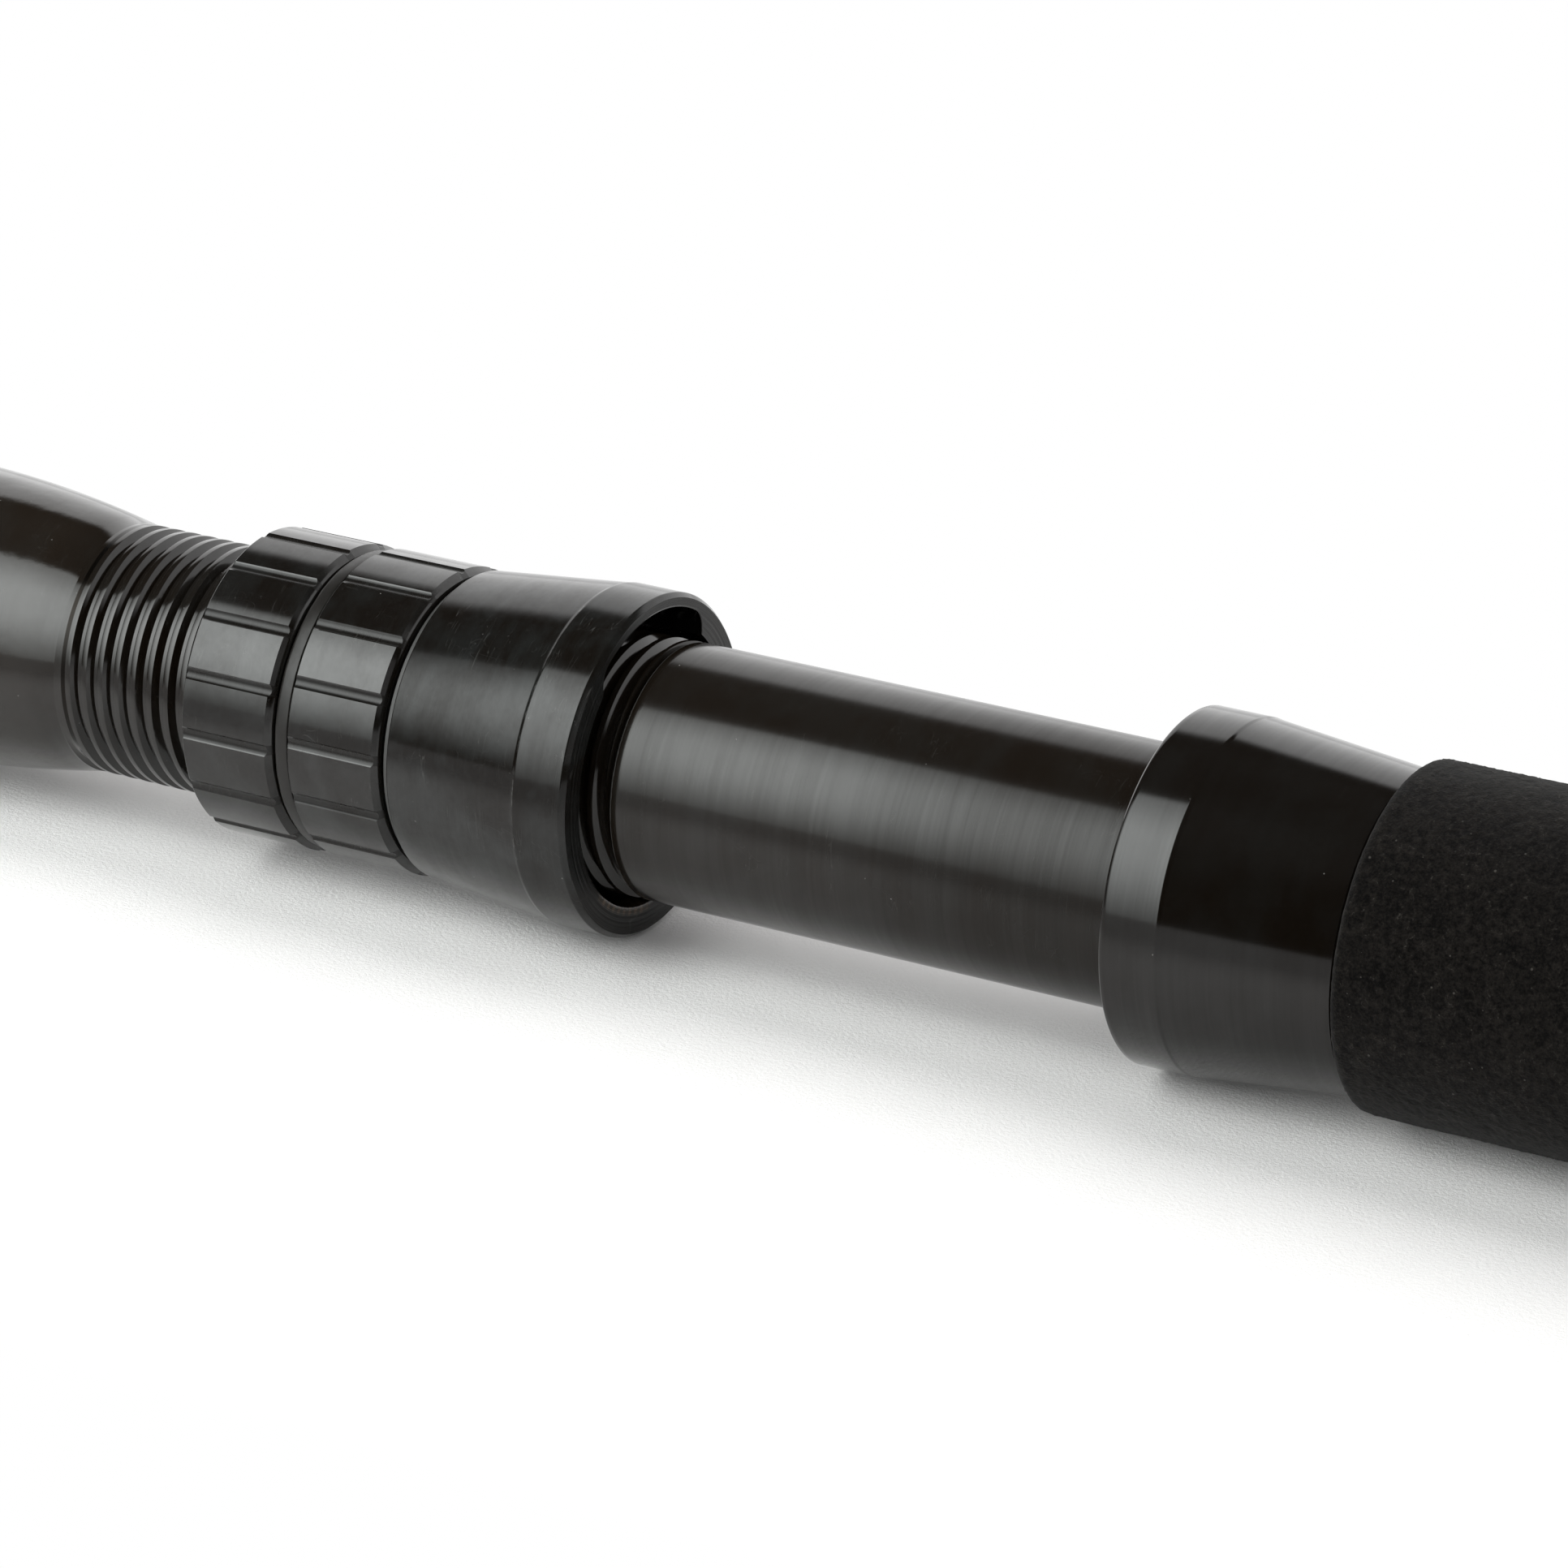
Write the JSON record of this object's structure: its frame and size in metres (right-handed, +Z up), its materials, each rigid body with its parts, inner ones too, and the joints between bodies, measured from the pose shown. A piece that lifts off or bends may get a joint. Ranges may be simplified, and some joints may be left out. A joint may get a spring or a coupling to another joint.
{
  "type": "fishing rod",
  "caption": "Stand-up fishing rod with a slotted butt nock, threaded reel seat with lock nuts and hoods, foam foregrip, tapered blank and roller guides.",
  "frame": {"origin": "on the floor under the rod's axis, midway between the gimbal nock's rear face and the tip-top", "axes": "+X from the gimbal nock to the tip-top along the rod's axis, +Z up through the reel seat's pockets and the guides"},
  "size_m": [1.676, 0.0426, 0.0551],
  "materials": {
    "black_anodised": "hard black anodising over turned aluminium",
    "black_foam": "closed-cell foam, matte",
    "black_rubber": "moulded rubber, satin",
    "dark_nylon": "plain nylon",
    "stainless_steel": "stainless steel, satin",
    "sintered_bronze": "sintered bronze",
    "roller_steel": "hardened stainless steel, polished",
    "dark_blank": "resin-bound glass fibre under clear coat",
    "arbor_foam": "rigid foam, bare",
    "black_winding": "thread under clear coat"
  },
  "bodies": {
    "rod": {"butt_tube": "black_anodised", "gimbal_nock": "black_anodised", "gimbal_pin": "stainless_steel", "gimbal_bumper": "black_rubber", "fixed_hood": "black_anodised", "rear_arbor": "arbor_foam", "front_arbor": "arbor_foam", "blank": "dark_blank", "foregrip": "black_foam", "winding_check": "black_anodised", "foregrip_winding": "black_winding", "guide_1_frame": "stainless_steel", "guide_1_axle_screw": "stainless_steel", "guide_1_bushing": "sintered_bronze", "guide_1_keeper": "stainless_steel", "guide_1_rear_winding": "black_winding", "guide_1_front_winding": "black_winding", "guide_2_frame": "stainless_steel", "guide_2_axle_screw": "stainless_steel", "guide_2_bushing": "sintered_bronze", "guide_2_keeper": "stainless_steel", "guide_2_rear_winding": "black_winding", "guide_2_front_winding": "black_winding", "guide_3_frame": "stainless_steel", "guide_3_axle_screw": "stainless_steel", "guide_3_bushing": "sintered_bronze", "guide_3_keeper": "stainless_steel", "guide_3_rear_winding": "black_winding", "guide_3_front_winding": "black_winding", "guide_4_frame": "stainless_steel", "guide_4_axle_screw": "stainless_steel", "guide_4_bushing": "sintered_bronze", "guide_4_keeper": "stainless_steel", "guide_4_rear_winding": "black_winding", "guide_4_front_winding": "black_winding", "guide_5_frame": "stainless_steel", "guide_5_axle_screw": "stainless_steel", "guide_5_bushing": "sintered_bronze", "guide_5_keeper": "stainless_steel", "guide_5_rear_winding": "black_winding", "guide_5_front_winding": "black_winding", "tip_frame": "stainless_steel", "tip_axle_screw": "stainless_steel", "tip_bushing": "sintered_bronze", "tip_keeper": "stainless_steel"},
    "hood_carriage": {"thrust_washer": "dark_nylon"},
    "sliding_hood": {"sliding_hood": "black_anodised"},
    "front_lock_nut": {"front_lock_nut": "black_anodised"},
    "nut_gasket": {"nut_gasket": "black_rubber"},
    "rear_lock_nut": {"rear_lock_nut": "black_anodised"},
    "guide_1_roller": {"guide_1_roller": "roller_steel"},
    "guide_2_roller": {"guide_2_roller": "roller_steel"},
    "guide_3_roller": {"guide_3_roller": "roller_steel"},
    "guide_4_roller": {"guide_4_roller": "roller_steel"},
    "guide_5_roller": {"guide_5_roller": "roller_steel"},
    "tip_roller": {"tip_roller": "roller_steel"}
  },
  "joints": [
    {"name": "hood_travel", "type": "slide", "parent": "rod", "child": "hood_carriage", "axis": [1, 0, 0], "range_m": [-0.008, 0.028]},
    {"name": "front_nut_spin", "type": "hinge", "parent": "hood_carriage", "child": "front_lock_nut", "pos_m": [-0.4728, 0, 0.02132], "axis": [1, 0, 0], "range_deg": [-1180, 4130]},
    {"name": "hood_turn", "type": "hinge", "parent": "hood_carriage", "child": "sliding_hood", "pos_m": [-0.452, 0, 0.02132], "axis": [1, 0, 0], "continuous": true},
    {"name": "rear_nut_travel", "type": "slide", "parent": "front_lock_nut", "child": "nut_gasket", "axis": [1, 0, 0], "range_m": [-0.01, 0]},
    {"name": "rear_nut_spin", "type": "hinge", "parent": "nut_gasket", "child": "rear_lock_nut", "pos_m": [-0.4882, 0, 0.02132], "axis": [1, 0, 0], "range_deg": [-1475, 0]},
    {"name": "guide_1_roller_spin", "type": "hinge", "parent": "rod", "child": "guide_1_roller", "pos_m": [0.06306, 0, 0.03838], "axis": [0, 1, 0], "continuous": true},
    {"name": "guide_2_roller_spin", "type": "hinge", "parent": "rod", "child": "guide_2_roller", "pos_m": [0.24805, 0, 0.0364], "axis": [0, 1, 0], "continuous": true},
    {"name": "guide_3_roller_spin", "type": "hinge", "parent": "rod", "child": "guide_3_roller", "pos_m": [0.41305, 0, 0.03456], "axis": [0, 1, 0], "continuous": true},
    {"name": "guide_4_roller_spin", "type": "hinge", "parent": "rod", "child": "guide_4_roller", "pos_m": [0.56304, 0, 0.03282], "axis": [0, 1, 0], "continuous": true},
    {"name": "guide_5_roller_spin", "type": "hinge", "parent": "rod", "child": "guide_5_roller", "pos_m": [0.69804, 0, 0.03118], "axis": [0, 1, 0], "continuous": true},
    {"name": "tip_roller_spin", "type": "hinge", "parent": "rod", "child": "tip_roller", "pos_m": [0.83378, 0, 0.02508], "axis": [0, 1, 0], "continuous": true}
  ],
  "couplings": [
    {"joint": "hood_travel", "follows": "front_nut_spin", "m_per_rad": 0.00038834},
    {"joint": "rear_nut_travel", "follows": "rear_nut_spin", "m_per_rad": 0.00038834}
  ]
}
